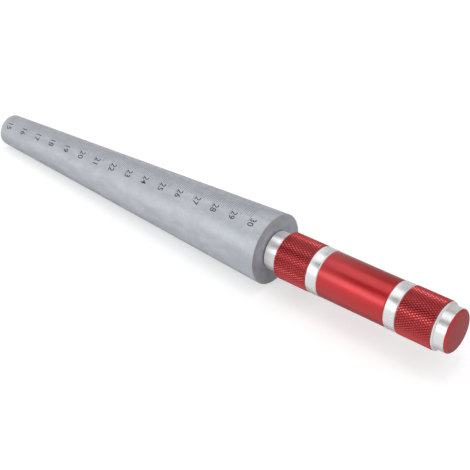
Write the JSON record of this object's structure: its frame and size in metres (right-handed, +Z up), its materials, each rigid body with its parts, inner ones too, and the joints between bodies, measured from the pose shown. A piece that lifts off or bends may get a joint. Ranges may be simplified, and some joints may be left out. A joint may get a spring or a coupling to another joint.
{
  "type": "taper gauge",
  "caption": "Conical 1:10 taper gauge for round holes of 15 to 30 mm, a plain steel cone on a turned, knurled and red anodised aluminium handle.",
  "frame": {"origin": "centre of the lying gauge's plan outline, on the surface that the cone's underside rests on", "axes": "+X runs from the cone's nose towards the handle's free end, along the line where the cone touches the surface; +Z is up"},
  "size_m": [0.2489, 0.0308, 0.0309],
  "materials": {
    "ground_steel": "fine ground, satin, with dark marked graduations and numerals from 15 to 30",
    "anodised_aluminium": "red anodised, with turned bright bands and end collar"
  },
  "bodies": {
    "root": {"gauge_cone": "ground_steel", "handle": "anodised_aluminium"}
  },
  "joints": []
}
